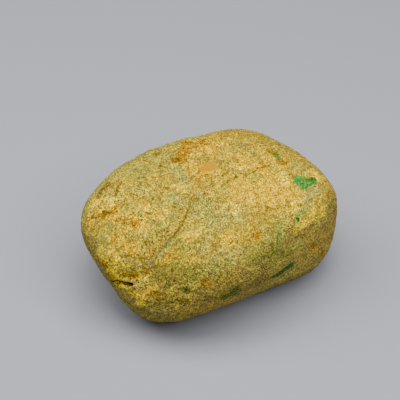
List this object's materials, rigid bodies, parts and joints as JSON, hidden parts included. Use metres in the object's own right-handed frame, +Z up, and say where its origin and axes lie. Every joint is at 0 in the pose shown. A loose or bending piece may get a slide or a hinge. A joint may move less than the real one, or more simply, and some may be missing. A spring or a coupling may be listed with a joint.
{
  "type": "jadeite pebble",
  "caption": "River-worn jadeite pebble with a sandy ochre crust, a healed crack that opens into a small cleft, and a small flat spot to rest on.",
  "frame": {"origin": "on the ground, under the middle of the stone's bounding box", "axes": "+Z up, +X along the stone's length, +Y away from its worn front side"},
  "size_m": [0.1096, 0.0804, 0.0569],
  "materials": {
    "pebble": "matt, sandy, weathered ochre and olive crust with small green, orange and pale spots"
  },
  "bodies": {
    "root": {"pebble": "pebble"}
  },
  "joints": []
}
